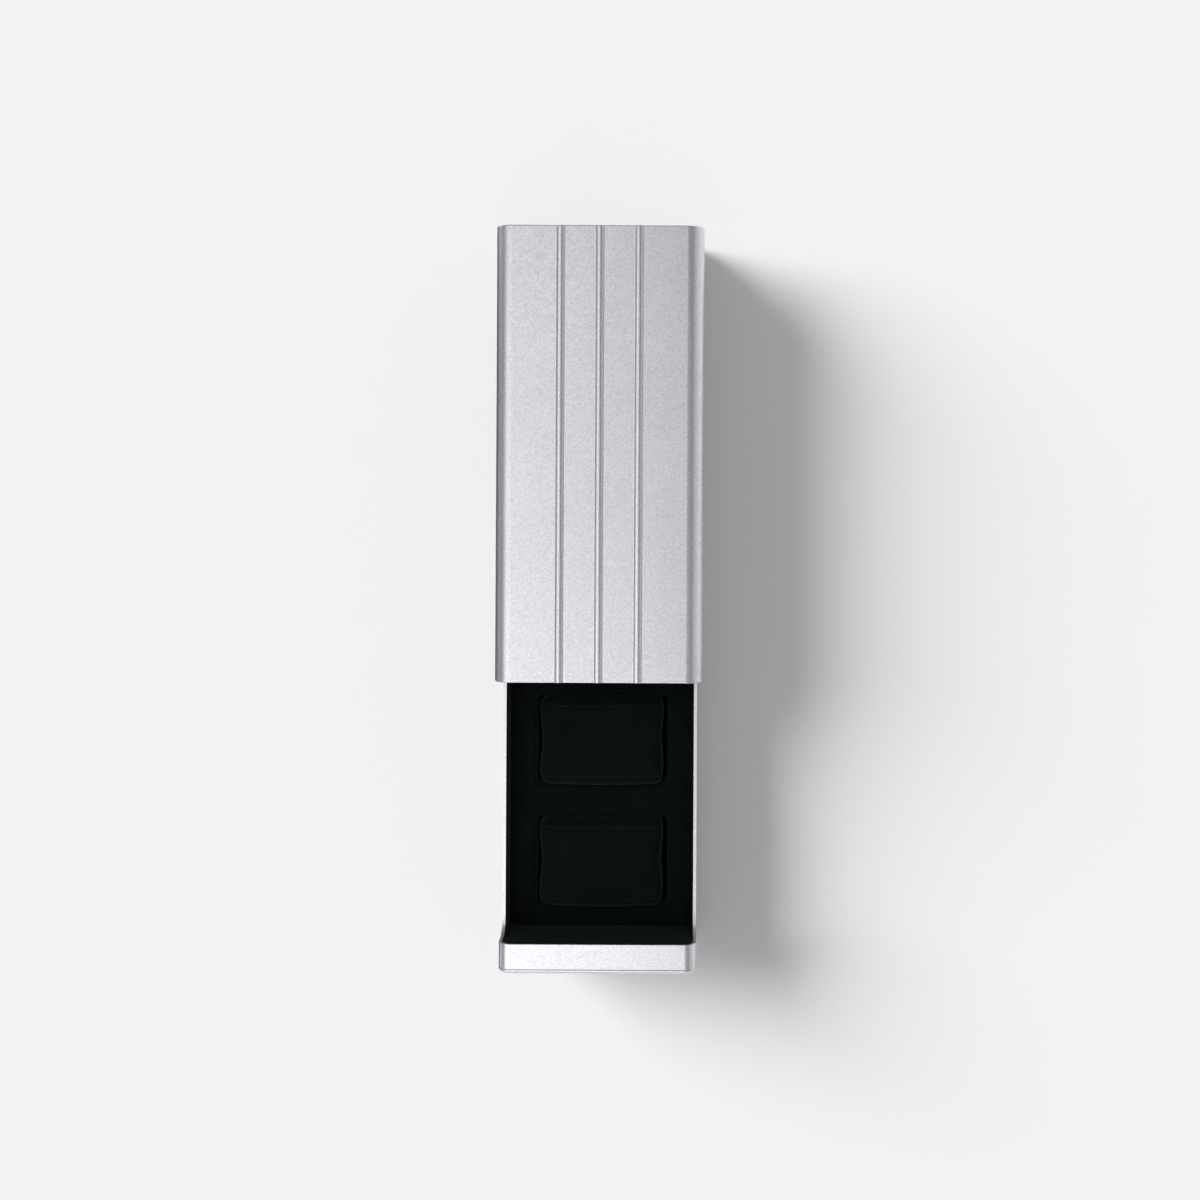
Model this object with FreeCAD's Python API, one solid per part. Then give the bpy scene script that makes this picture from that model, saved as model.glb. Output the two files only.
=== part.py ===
"""Watch storage case: an aluminium sleeve with a drawer that carries three watch cushions.

Millimetres, +Z up. The drawer opens towards -Y and is drawn part open. The origin is the middle
of the base pad's underside, below the middle of the sleeve. The outer sizes follow from what the
case holds: wells and cushions first, then the drawer round them, then the sleeve round the drawer.
"""
import FreeCAD
import Part
import math
import os

Vector = FreeCAD.Vector

# Cushions
WELL_NAMES = ("front", "middle", "rear")
CUSHION_WIDTH = 78.8
CUSHION_LENGTH = 58.0
CUSHION_HEIGHT = 38.8
CUSHION_PROUD = 10.0
CUSHION_CROWN = 2.4
CUSHION_TOP_ROUND = 7.0
CUSHION_BOTTOM_ROUND = 9.0
CUSHION_END_ROUND = 9.0
CUSHION_WAIST = 1.6
CUSHION_SQUEEZE = 1.8
CUSHION_LEDGE_GAP = 0.3
CUSHION_COVER = 1.2
CUSHION_CORE_GAP = 0.1
CUSHION_SEAT_GAP = 0.1
CUSHION_END_GAP = 0.4
CUSHION_SIDE_GAP = 1.8
STATION_SHARES = (-1.0, -0.96, -0.88, -0.74, -0.40, 0.0, 0.40, 0.74, 0.88, 0.96, 1.0)
STATION_INSET_SHARES = (1.0, 0.52, 0.19, 0.03, 0.0, 0.0, 0.0, 0.03, 0.19, 0.52, 1.0)
STATION_WAIST_SHARES = (0.0, 0.0, 0.0, 0.12, 0.70, 1.0, 0.70, 0.12, 0.0, 0.0, 0.0)
ROUND_DRAW_IN_SHARE = 0.55

# Wells and the panel round them
WELL_GAP = 20.7
WELL_CORNER = 2.2
WELL_PAD = 1.2
LINER_WALL = 1.2
LINER_FLOOR = 1.2
PANEL_THICKNESS = 4.0
PANEL_ROLL = 2.6
RAIL_WIDTH = 16.5
FRONT_MARGIN = 12.2
TAIL_MARGIN = 23.3
FIT_GAP = 0.15

# Drawer
DRAWER_WALL = 1.9
SIDE_RISE = 15.0
FRONT_RISE = 37.0
BAND_DEPTH = 15.1
BAND_SWEEP = 9.0
REAR_WALL = 7.0
LINING = 0.8
LINING_REVEAL = 0.3
LINING_SWEEP_SHARE = 0.6
FRONT_PLATE = 2.6
FRONT_BEVEL = 1.6
SEAM_BEVEL = 0.35
PLUG_DEPTH = 7.0
PLUG_RIM = 6.0

# Sliding fit and travel
GLIDE_THICKNESS = 0.4
GLIDE_WIDTH = 9.0
GLIDE_INSET = 20.6
GLIDE_RISE = 24.0
GLIDE_MOUTH_INSET = 4.0
RUNNING_GAP = 0.2
DRAWER_OPEN = 174.9
FRONT_PROUD = 4.0
SHUT_GAP = 0.3
WELL_CLEAR = 2.0

# Sleeve
SLEEVE_WALL = 2.4
SLEEVE_CORNER = 9.9
SLEEVE_END_ROUND = 0.8
REAR_PLATE = 8.8
BEAD_COUNT = 3
BEAD_PITCH = 23.5
BEAD_WIDTH = 5.6
BEAD_HEIGHT = 1.0
BEAD_FOOT = 1.2
BASE_PAD = 1.0
BASE_PAD_MARGIN = 3.0
BASE_PAD_END_MARGIN = 1.0
BASE_PAD_CORNER = 6.0

# Fasteners, stop and catch
SCREW_SHANK = 1.5
SCREW_HEAD = 2.8
SCREW_HEAD_DEPTH = 1.4
SCREW_LENGTH = 6.5
SCREW_INSET = 16.7
SCREW_CLEARANCE = 0.05
STOP_INSET = 12.0
STOP_BUSH_WALL = 0.9
STOP_SIDE_GAP = 0.3
STOP_TOP_GAP = 0.4
MAGNET_RADIUS = 5.0
MAGNET_DEPTH = 3.0
MAGNET_INSET = 27.6
MAGNET_RISE = 30.0
STRIKE_DEPTH = 1.5
BUMPER_RADIUS = 6.0
BUMPER_THICKNESS = 1.5
BUMPER_RISE = 12.0
CUT_OVERRUN = 2.0
FLATNESS = 0.01

# Widths, worked out from the wells outwards
drawer_gap = GLIDE_THICKNESS + RUNNING_GAP
well_width = CUSHION_WIDTH + 2 * CUSHION_SIDE_GAP
inner_width = well_width + 2 * RAIL_WIDTH
drawer_width = inner_width + 2 * DRAWER_WALL
bore_width = drawer_width + 2 * drawer_gap
sleeve_width = bore_width + 2 * SLEEVE_WALL
bore_corner = SLEEVE_CORNER - SLEEVE_WALL
drawer_corner = bore_corner - drawer_gap
inner_corner = drawer_corner - DRAWER_WALL

# Heights, from the underside up
bore_low = BASE_PAD + SLEEVE_WALL
drawer_low = bore_low + drawer_gap
floor_top = drawer_low + DRAWER_WALL
cushion_low = floor_top + LINER_FLOOR + WELL_PAD + CUSHION_SEAT_GAP
cushion_high = cushion_low + CUSHION_HEIGHT
panel_top = cushion_high - CUSHION_PROUD
panel_low = panel_top - PANEL_THICKNESS
side_top = panel_top + SIDE_RISE
band_top = panel_top + FRONT_RISE
band_inner_top = band_top - DRAWER_WALL
bore_high = band_top + drawer_gap
sleeve_high = bore_high + SLEEVE_WALL

# Lengths: the drawer from its contents, the sleeve from the shut drawer
squeezed_length = CUSHION_LENGTH - 2 * CUSHION_SQUEEZE
well_length = squeezed_length + 2 * CUSHION_END_GAP
well_pitch = well_length + WELL_GAP
wells_length = len(WELL_NAMES) * well_length + (len(WELL_NAMES) - 1) * WELL_GAP
band_length = FRONT_PLATE + BAND_DEPTH
drawer_length = band_length + FRONT_MARGIN + wells_length + TAIL_MARGIN + REAR_WALL
sleeve_length = drawer_length + SHUT_GAP + BUMPER_THICKNESS + REAR_PLATE - FRONT_PROUD
mouth_y = -sleeve_length / 2
rear_y = sleeve_length / 2
rear_plate_y = rear_y - REAR_PLATE
front_y = mouth_y - DRAWER_OPEN
plate_back_y = front_y + FRONT_PLATE
plug_back_y = plate_back_y + PLUG_DEPTH
pad_face_y = front_y + band_length
drawer_rear_y = front_y + drawer_length
rear_wall_y = drawer_rear_y - REAR_WALL
first_well_y = pad_face_y + FRONT_MARGIN
last_well_y = first_well_y + wells_length

# How far the drawer can move from where it is drawn
travel_shut = DRAWER_OPEN - FRONT_PROUD
travel_open = band_length + FRONT_MARGIN + wells_length + WELL_CLEAR - DRAWER_OPEN
headroom = bore_high - cushion_high

# Stop screw, carried by the sleeve's floor just inside the mouth
stop_y = mouth_y + STOP_INSET
stop_top = floor_top - STOP_TOP_GAP
bush_radius = SCREW_SHANK + STOP_BUSH_WALL


def box(x_low, x_high, y_low, y_high, z_low, z_high):
    """A box between two corners."""
    return Part.makeBox(x_high - x_low, y_high - y_low, z_high - z_low, Vector(x_low, y_low, z_low))


def line(start, end):
    """A straight edge."""
    return Part.LineSegment(start, end).toShape()


def arc(start, through, end):
    """A round edge through three points."""
    return Part.Arc(start, through, end).toShape()


def around(centre, radius, degrees):
    """A point on a circle in the XZ plane."""
    turn = math.radians(degrees)
    return centre + Vector(radius * math.cos(turn), 0, radius * math.sin(turn))


def corner(centre, radius, start_degrees):
    """A quarter circle in the XZ plane, turning anticlockwise."""
    points = [around(centre, radius, start_degrees + share * 90) for share in (0, 0.5, 1)]
    return arc(*points)


def bead_edges(middle_x, z):
    """The raised bead's outline from its right foot to its left foot."""
    slope = 2 * math.atan(2 * BEAD_HEIGHT / BEAD_WIDTH)
    crown_radius = BEAD_WIDTH / 2 / math.sin(slope) - BEAD_FOOT
    tilt = math.degrees(slope)
    right = Vector(middle_x + BEAD_WIDTH / 2, 0, z + BEAD_FOOT)
    left = Vector(middle_x - BEAD_WIDTH / 2, 0, z + BEAD_FOOT)
    crown = Vector(middle_x, 0, z + BEAD_HEIGHT - crown_radius)
    foot_right = [around(right, BEAD_FOOT, -90 - tilt * share) for share in (0, 0.5, 1)]
    top = [around(crown, crown_radius, 90 + tilt * share) for share in (-1, 0, 1)]
    foot_left = [around(left, BEAD_FOOT, -90 + tilt * share) for share in (1, 0.5, 0)]
    return [arc(*foot_right), arc(*top), arc(*foot_left)]


def rounded_outline(width, z_low, z_high, radius, bead_middles=()):
    """A rounded rectangle in the XZ plane, with raised beads along its top where asked."""
    reach = width / 2 - radius
    low = z_low + radius
    high = z_high - radius
    edges = [line(Vector(-reach, 0, z_low), Vector(reach, 0, z_low))]
    edges.append(corner(Vector(reach, 0, low), radius, -90))
    edges.append(line(Vector(width / 2, 0, low), Vector(width / 2, 0, high)))
    edges.append(corner(Vector(reach, 0, high), radius, 0))
    last = Vector(reach, 0, z_high)
    for middle in sorted(bead_middles, reverse=True):
        edges.append(line(last, Vector(middle + BEAD_WIDTH / 2, 0, z_high)))
        edges.extend(bead_edges(middle, z_high))
        last = Vector(middle - BEAD_WIDTH / 2, 0, z_high)
    edges.append(line(last, Vector(-reach, 0, z_high)))
    edges.append(corner(Vector(-reach, 0, high), radius, 90))
    edges.append(line(Vector(-width / 2, 0, high), Vector(-width / 2, 0, low)))
    edges.append(corner(Vector(-reach, 0, low), radius, 180))
    return Part.Wire(edges)


def along_y(outline, y_low, y_high):
    """A flat outline in the XZ plane drawn out along Y."""
    face = Part.Face(outline)
    face.translate(Vector(0, y_low, 0))
    return face.extrude(Vector(0, y_high - y_low, 0))


def rounded_bar(width, z_low, z_high, radius, y_low, y_high):
    """A bar of rounded rectangular section lying along Y."""
    return along_y(rounded_outline(width, z_low, z_high, radius), y_low, y_high)


def upright_block(width, length, middle_y, radius, z_low, z_high):
    """A block with rounded upright corners."""
    block = box(-width / 2, width / 2, middle_y - length / 2, middle_y + length / 2, z_low, z_high)
    uprights = [edge for edge in block.Edges if edge.BoundBox.ZLength > (z_high - z_low) / 2]
    return block.makeFillet(radius, uprights)


def end_edges(shape, y):
    """The outer edges of the end face that lies at y."""
    faces = [face for face in shape.Faces if face.BoundBox.YLength < FLATNESS]
    nearest = min(faces, key=lambda face: abs(face.CenterOfMass.y - y))
    return nearest.OuterWire.Edges


def screw(x, y, z, growth=0):
    """A countersunk screw driven upwards, with its head flush with the surface at z."""
    head = Part.makeCone(SCREW_HEAD + growth, SCREW_SHANK + growth, SCREW_HEAD_DEPTH, Vector(x, y, z))
    shank = Part.makeCylinder(SCREW_SHANK + growth, SCREW_LENGTH + growth, Vector(x, y, z))
    return head.fuse(shank).removeSplitter()


def screw_row(y, z, growth=0):
    """Three screws in a row across the case."""
    reach = inner_width / 2 - SCREW_INSET
    return [screw(place * reach, y, z, growth) for place in (-1, 0, 1)]


def disc_pair(radius, thickness, y, z):
    """Two discs that face along Y, as far in from the drawer's sides as the catch magnets are."""
    reach = drawer_width / 2 - MAGNET_INSET
    places = (-reach, reach)
    return [Part.makeCylinder(radius, thickness, Vector(x, y, z), Vector(0, 1, 0)) for x in places]


def sweep_cut(edge_y, side_z, radius):
    """What is cut off the top of the drawer tube: level sides that sweep up to the band."""
    turn_y = edge_y + radius
    turn_z = side_z + radius
    end_y = drawer_rear_y + CUT_OVERRUN
    end_z = band_top + CUT_OVERRUN
    diagonal = radius * math.sqrt(0.5)
    x = -drawer_width / 2 - CUT_OVERRUN
    top_front = Vector(x, edge_y, end_z)
    sweep_high = Vector(x, edge_y, turn_z)
    sweep_middle = Vector(x, turn_y - diagonal, turn_z - diagonal)
    sweep_low = Vector(x, turn_y, side_z)
    low_rear = Vector(x, end_y, side_z)
    top_rear = Vector(x, end_y, end_z)
    edges = [
        line(top_front, sweep_high),
        arc(sweep_high, sweep_middle, sweep_low),
        line(sweep_low, low_rear),
        line(low_rear, top_rear),
        line(top_rear, top_front),
    ]
    return Part.Face(Part.Wire(edges)).extrude(Vector(-2 * x, 0, 0))


def inside_drawer(y_low, y_high, z_low, z_high):
    """A block that fits the inside of the drawer tube between two heights."""
    width = inner_width - 2 * FIT_GAP
    bar = rounded_bar(width, floor_top, band_inner_top - FIT_GAP, inner_corner, y_low, y_high)
    return bar.common(box(-inner_width, inner_width, y_low, y_high, z_low, z_high))


def well_middle(index):
    """The middle of a well along Y."""
    return first_well_y + well_length / 2 + index * well_pitch


def make_sleeve_shell():
    """The outer tube with its beads, rounded ends and screw holes."""
    middles = [(index - (BEAD_COUNT - 1) / 2) * BEAD_PITCH for index in range(BEAD_COUNT)]
    outline = rounded_outline(sleeve_width, BASE_PAD, sleeve_high, SLEEVE_CORNER, middles)
    tube = along_y(outline, mouth_y, rear_y)
    for y in (mouth_y, rear_y):
        tube = tube.makeFillet(SLEEVE_END_ROUND, end_edges(tube, y))
    ends = (mouth_y - CUT_OVERRUN, rear_y + CUT_OVERRUN)
    tube = tube.cut(rounded_bar(bore_width, bore_low, bore_high, bore_corner, *ends))
    holes = screw_row(rear_y - REAR_PLATE / 2, BASE_PAD, SCREW_CLEARANCE)
    holes.append(screw(0, stop_y, BASE_PAD, SCREW_CLEARANCE))
    return tube.cut(Part.makeCompound(holes))


def make_rear_plate():
    """The plate in the sleeve's rear end, with its screw holes and magnet pockets."""
    plate = rounded_bar(
        bore_width - 2 * FIT_GAP,
        bore_low + FIT_GAP,
        bore_high - FIT_GAP,
        bore_corner - FIT_GAP,
        rear_plate_y,
        rear_y,
    )
    holes = screw_row(rear_y - REAR_PLATE / 2, BASE_PAD, SCREW_CLEARANCE)
    pocket_radius = MAGNET_RADIUS + SCREW_CLEARANCE
    holes += disc_pair(pocket_radius, MAGNET_DEPTH, rear_plate_y, drawer_low + MAGNET_RISE)
    return plate.cut(Part.makeCompound(holes))


def make_rear_plate_screws():
    """The screws that hold the rear plate, in a row under the sleeve."""
    return Part.makeCompound(screw_row(rear_y - REAR_PLATE / 2, BASE_PAD))


def make_catch_magnets():
    """The two magnets, flush with the rear plate's inner face."""
    return Part.makeCompound(
        disc_pair(MAGNET_RADIUS, MAGNET_DEPTH, rear_plate_y, drawer_low + MAGNET_RISE)
    )


def make_rear_bumpers():
    """The two felt discs on the rear plate that the shut drawer meets."""
    y = rear_plate_y - BUMPER_THICKNESS
    return Part.makeCompound(
        disc_pair(BUMPER_RADIUS, BUMPER_THICKNESS, y, drawer_low + BUMPER_RISE)
    )


def make_bottom_glide(side):
    """A glide tape on the sleeve's floor."""
    middle = side * (drawer_width / 2 - GLIDE_INSET)
    return box(
        middle - GLIDE_WIDTH / 2,
        middle + GLIDE_WIDTH / 2,
        mouth_y + GLIDE_MOUTH_INSET,
        rear_plate_y - FIT_GAP,
        bore_low,
        bore_low + GLIDE_THICKNESS,
    )


def make_side_glide(side):
    """A glide tape on the sleeve's side wall."""
    outer = side * bore_width / 2
    inner = side * (bore_width / 2 - GLIDE_THICKNESS)
    middle = drawer_low + GLIDE_RISE
    return box(
        min(outer, inner),
        max(outer, inner),
        mouth_y + GLIDE_MOUTH_INSET,
        rear_plate_y - FIT_GAP,
        middle - GLIDE_WIDTH / 2,
        middle + GLIDE_WIDTH / 2,
    )


def make_base_pad():
    """The pad that the case stands on, covering the flat of the sleeve's underside."""
    width = sleeve_width - 2 * (SLEEVE_CORNER + BASE_PAD_MARGIN)
    length = sleeve_length - 2 * BASE_PAD_END_MARGIN
    return upright_block(width, length, 0, BASE_PAD_CORNER, 0, BASE_PAD)


def make_stop_screw():
    """The stop screw: head in the sleeve's floor, shank up into the drawer's slot."""
    head = Part.makeCone(SCREW_HEAD, SCREW_SHANK, SCREW_HEAD_DEPTH, Vector(0, stop_y, BASE_PAD))
    shank = Part.makeCylinder(SCREW_SHANK, stop_top - BASE_PAD, Vector(0, stop_y, BASE_PAD))
    return head.fuse(shank).removeSplitter()


def make_stop_bush():
    """The plastic bush on the stop screw."""
    base = Vector(0, stop_y, bore_low)
    height = stop_top - bore_low
    bore = Part.makeCylinder(SCREW_SHANK + SCREW_CLEARANCE, height, base)
    return Part.makeCylinder(bush_radius, height, base).cut(bore)


def make_drawer_shell():
    """The inner tube, cut open behind its front band, with the stop slot and screw holes."""
    tube = rounded_bar(drawer_width, drawer_low, band_top, drawer_corner, plate_back_y, drawer_rear_y)
    tube = tube.makeChamfer(SEAM_BEVEL, end_edges(tube, plate_back_y))
    ends = (plate_back_y - CUT_OVERRUN, drawer_rear_y + CUT_OVERRUN)
    bore = rounded_bar(inner_width, floor_top, band_inner_top, inner_corner, *ends)
    tube = tube.cut(bore).cut(sweep_cut(pad_face_y, side_top, BAND_SWEEP))
    slot_half = bush_radius + STOP_SIDE_GAP
    slot_low = stop_y - travel_shut
    slot_high = stop_y + travel_open
    depth = (drawer_low - CUT_OVERRUN, floor_top + CUT_OVERRUN)
    slot = box(-slot_half, slot_half, slot_low, slot_high, *depth)
    holes = [slot]
    for y in (slot_low, slot_high):
        holes.append(Part.makeCylinder(slot_half, depth[1] - depth[0], Vector(0, y, depth[0])))
    holes += screw_row(plate_back_y + PLUG_DEPTH / 2, drawer_low, SCREW_CLEARANCE)
    holes += screw_row(drawer_rear_y - REAR_WALL / 2, drawer_low, SCREW_CLEARANCE)
    for hole in holes:
        tube = tube.cut(hole)
    return tube


def make_front_plate():
    """The bevelled front plate with the rim that plugs the drawer tube."""
    plate = rounded_bar(drawer_width, drawer_low, band_top, drawer_corner, front_y, plate_back_y)
    plate = plate.makeChamfer(FRONT_BEVEL, end_edges(plate, front_y))
    plate = plate.makeChamfer(SEAM_BEVEL, end_edges(plate, plate_back_y))
    rim = rounded_bar(
        inner_width - 2 * FIT_GAP,
        floor_top + FIT_GAP,
        band_inner_top - FIT_GAP,
        inner_corner - FIT_GAP,
        plate_back_y,
        plug_back_y,
    )
    inset = FIT_GAP + PLUG_RIM
    hollow = box(
        -inner_width / 2 + inset,
        inner_width / 2 - inset,
        plate_back_y,
        plug_back_y,
        floor_top + inset,
        band_inner_top - inset,
    )
    holes = screw_row(plate_back_y + PLUG_DEPTH / 2, drawer_low, SCREW_CLEARANCE)
    return plate.fuse(rim.cut(hollow)).cut(Part.makeCompound(holes))


def make_front_plate_screws():
    """The screws that hold the front plate, in a row under the drawer."""
    return Part.makeCompound(screw_row(plate_back_y + PLUG_DEPTH / 2, drawer_low))


def make_front_pad():
    """The suede-covered pad that fills the back of the front band."""
    return inside_drawer(plug_back_y + FIT_GAP, pad_face_y, panel_top, band_inner_top)


def make_side_lining(side):
    """The suede on a side wall, which follows the sweep up to the band."""
    outer = side * inner_width / 2
    inner = side * (inner_width / 2 - LINING)
    high = side_top + LINING_SWEEP_SHARE * BAND_SWEEP
    sheet = box(min(outer, inner), max(outer, inner), pad_face_y, rear_wall_y, panel_top, high)
    return sheet.cut(sweep_cut(pad_face_y, side_top - LINING_REVEAL, BAND_SWEEP))


def make_rear_lining():
    """The suede on the inside of the drawer's rear wall."""
    reach = inner_width / 2 - LINING - FIT_GAP
    return box(-reach, reach, rear_wall_y - LINING, rear_wall_y, panel_top, side_top - LINING_REVEAL)


def make_drawer_rear_wall():
    """The wall that closes the drawer's rear end, with pockets for the strike discs."""
    wall = inside_drawer(rear_wall_y, drawer_rear_y, floor_top, side_top)
    holes = screw_row(drawer_rear_y - REAR_WALL / 2, drawer_low, SCREW_CLEARANCE)
    pocket_y = drawer_rear_y - STRIKE_DEPTH
    pocket_radius = MAGNET_RADIUS + SCREW_CLEARANCE
    holes += disc_pair(pocket_radius, STRIKE_DEPTH, pocket_y, drawer_low + MAGNET_RISE)
    return wall.cut(Part.makeCompound(holes))


def make_drawer_rear_screws():
    """The screws that hold the drawer's rear wall."""
    return Part.makeCompound(screw_row(drawer_rear_y - REAR_WALL / 2, drawer_low))


def make_strike_discs():
    """The steel discs that the magnets hold, flush with the drawer's rear."""
    y = drawer_rear_y - STRIKE_DEPTH
    return Part.makeCompound(
        disc_pair(MAGNET_RADIUS, STRIKE_DEPTH, y, drawer_low + MAGNET_RISE)
    )


def make_well_panel():
    """The suede-wrapped panel with a rolled-edge opening over each well."""
    reach = inner_width / 2 - FIT_GAP
    panel = box(-reach, reach, plug_back_y + FIT_GAP, rear_wall_y - FIT_GAP, panel_low, panel_top)
    levels = (panel_low - CUT_OVERRUN, panel_top + CUT_OVERRUN)
    for index in range(len(WELL_NAMES)):
        panel = panel.cut(upright_block(well_width, well_length, well_middle(index), WELL_CORNER, *levels))
    top = max(panel.Faces, key=lambda face: face.CenterOfMass.z)
    rims = [edge for wire in top.Wires if not wire.isSame(top.OuterWire) for edge in wire.Edges]
    return panel.makeFillet(PANEL_ROLL, rims)


def make_well_liner(index):
    """An open box under one opening of the panel."""
    middle = well_middle(index)
    width = well_width + 2 * LINER_WALL
    length = well_length + 2 * LINER_WALL
    outer = upright_block(width, length, middle, WELL_CORNER + LINER_WALL, floor_top, panel_low)
    levels = (floor_top + LINER_FLOOR, panel_low + CUT_OVERRUN)
    return outer.cut(upright_block(well_width, well_length, middle, WELL_CORNER, *levels))


def make_well_floor_pads():
    """The soft pads in the bottom of the wells."""
    low = floor_top + LINER_FLOOR
    width = well_width - 2 * FIT_GAP
    length = well_length - 2 * FIT_GAP
    pads = []
    for index in range(len(WELL_NAMES)):
        pads.append(upright_block(width, length, well_middle(index), WELL_CORNER, low, low + WELL_PAD))
    return Part.makeCompound(pads)


def make_front_filler():
    """Foam between the front plate's rim and the first well."""
    return inside_drawer(plug_back_y + FIT_GAP, first_well_y - LINER_WALL - FIT_GAP, floor_top, panel_low)


def make_rear_filler():
    """Foam between the last well and the drawer's rear wall."""
    return inside_drawer(last_well_y + LINER_WALL + FIT_GAP, rear_wall_y - FIT_GAP, floor_top, panel_low)


def make_cross_fillers():
    """Foam between neighbouring wells."""
    reach = well_width / 2 + LINER_WALL
    margin = LINER_WALL + FIT_GAP
    blocks = []
    for index in range(len(WELL_NAMES) - 1):
        low = well_middle(index) + well_length / 2 + margin
        high = well_middle(index + 1) - well_length / 2 - margin
        blocks.append(box(-reach, reach, low, high, floor_top, panel_low))
    return Part.makeCompound(blocks)


def make_side_fillers():
    """Foam along both sides of the wells."""
    whole = inside_drawer(first_well_y - LINER_WALL, last_well_y + LINER_WALL, floor_top, panel_low)
    reach = well_width / 2 + LINER_WALL + FIT_GAP
    middle = box(
        -reach,
        reach,
        first_well_y - LINER_WALL - CUT_OVERRUN,
        last_well_y + LINER_WALL + CUT_OVERRUN,
        floor_top - CUT_OVERRUN,
        panel_low + CUT_OVERRUN,
    )
    return Part.makeCompound(whole.cut(middle).Solids)


def cushion_outline(y, inset, waist):
    """A cushion's cross-section: level base, round shoulders and a crowned top."""
    half = CUSHION_WIDTH / 2 - inset - waist
    low = cushion_low + inset
    high = cushion_high - inset
    shoulder = high - CUSHION_CROWN
    top_round = CUSHION_TOP_ROUND - ROUND_DRAW_IN_SHARE * inset
    base_round = CUSHION_BOTTOM_ROUND - ROUND_DRAW_IN_SHARE * inset
    base_reach = half - base_round
    top_reach = half - top_round
    base_corner = low + base_round
    top_corner = shoulder - top_round
    edges = [
        line(Vector(-base_reach, 0, low), Vector(base_reach, 0, low)),
        corner(Vector(base_reach, 0, base_corner), base_round, -90),
        line(Vector(half, 0, base_corner), Vector(half, 0, top_corner)),
        corner(Vector(top_reach, 0, top_corner), top_round, 0),
        arc(Vector(top_reach, 0, shoulder), Vector(0, 0, high), Vector(-top_reach, 0, shoulder)),
        corner(Vector(-top_reach, 0, top_corner), top_round, 90),
        line(Vector(-half, 0, top_corner), Vector(-half, 0, base_corner)),
        corner(Vector(-base_reach, 0, base_corner), base_round, 180),
    ]
    outline = Part.Wire(edges)
    outline.translate(Vector(0, y, 0))
    return outline


def cushion_form(index, depth):
    """A cushion's crowned form with drawn-in sides and ends, the given depth below its surface."""
    half_length = CUSHION_LENGTH / 2 - depth
    outlines = []
    for station, inset, waist in zip(STATION_SHARES, STATION_INSET_SHARES, STATION_WAIST_SHARES):
        y = well_middle(index) + station * half_length
        outlines.append(cushion_outline(y, depth + inset * CUSHION_END_ROUND, waist * CUSHION_WAIST))
    return Part.makeLoft(outlines, True, False).common(cushion_room(index, depth))


def cushion_room(index, depth):
    """The space a cushion takes: squeezed between its well's ends, free above the panel."""
    middle = well_middle(index)
    reach = CUSHION_WIDTH / 2
    squeezed = squeezed_length / 2 - depth
    free = CUSHION_LENGTH / 2 - depth
    ledge = panel_top + CUSHION_LEDGE_GAP + depth
    well = box(-reach, reach, middle - squeezed, middle + squeezed, cushion_low, cushion_high)
    above = box(-reach, reach, middle - free, middle + free, ledge, cushion_high)
    return well.fuse(above)


def make_cushion(index):
    """A cushion's sewn cover, a closed skin round its core."""
    return cushion_form(index, 0).cut(cushion_form(index, CUSHION_COVER))


def make_cushion_core(index):
    """A cushion's foam core."""
    return cushion_form(index, CUSHION_COVER + CUSHION_CORE_GAP)


def all_parts():
    """Every sub-part by name."""
    parts = {
        "sleeve_shell": make_sleeve_shell(),
        "rear_plate": make_rear_plate(),
        "rear_plate_screws": make_rear_plate_screws(),
        "catch_magnets": make_catch_magnets(),
        "rear_bumpers": make_rear_bumpers(),
        "base_pad": make_base_pad(),
        "stop_screw": make_stop_screw(),
        "stop_bush": make_stop_bush(),
        "drawer_shell": make_drawer_shell(),
        "front_plate": make_front_plate(),
        "front_plate_screws": make_front_plate_screws(),
        "front_pad": make_front_pad(),
        "rear_lining": make_rear_lining(),
        "drawer_rear_wall": make_drawer_rear_wall(),
        "drawer_rear_screws": make_drawer_rear_screws(),
        "strike_discs": make_strike_discs(),
        "well_panel": make_well_panel(),
        "well_floor_pads": make_well_floor_pads(),
        "front_filler": make_front_filler(),
        "cross_fillers": make_cross_fillers(),
        "rear_filler": make_rear_filler(),
        "side_fillers": make_side_fillers(),
    }
    for name, side in (("left", -1), ("right", 1)):
        parts["bottom_glide_" + name] = make_bottom_glide(side)
        parts["side_glide_" + name] = make_side_glide(side)
        parts["side_lining_" + name] = make_side_lining(side)
    for index, name in enumerate(WELL_NAMES):
        parts["well_liner_" + name] = make_well_liner(index)
        parts["cushion_" + name] = make_cushion(index)
        parts["cushion_core_" + name] = make_cushion_core(index)
    return parts


def main():
    """Build and write every sub-part, and print the sizes that the record states."""
    os.makedirs("parts", exist_ok=True)
    for name, shape in all_parts().items():
        if not shape.isValid() or not shape.Solids:
            raise ValueError(name + " is not a valid solid")
        shape.exportStep("parts/" + name + ".step")
        print(name, len(shape.Solids), round(shape.Volume))
    print("sleeve", sleeve_width, sleeve_length, sleeve_high)
    print("travel shut", travel_shut, "travel open", travel_open, "headroom", headroom)


main()
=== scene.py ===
"""Looks of a watch storage case: blasted aluminium, dark green suede and sewn cushions."""
import math

import bmesh
import bpy
from bpy.props import FloatProperty, FloatVectorProperty, IntProperty, PointerProperty
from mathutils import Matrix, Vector, noise


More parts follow.
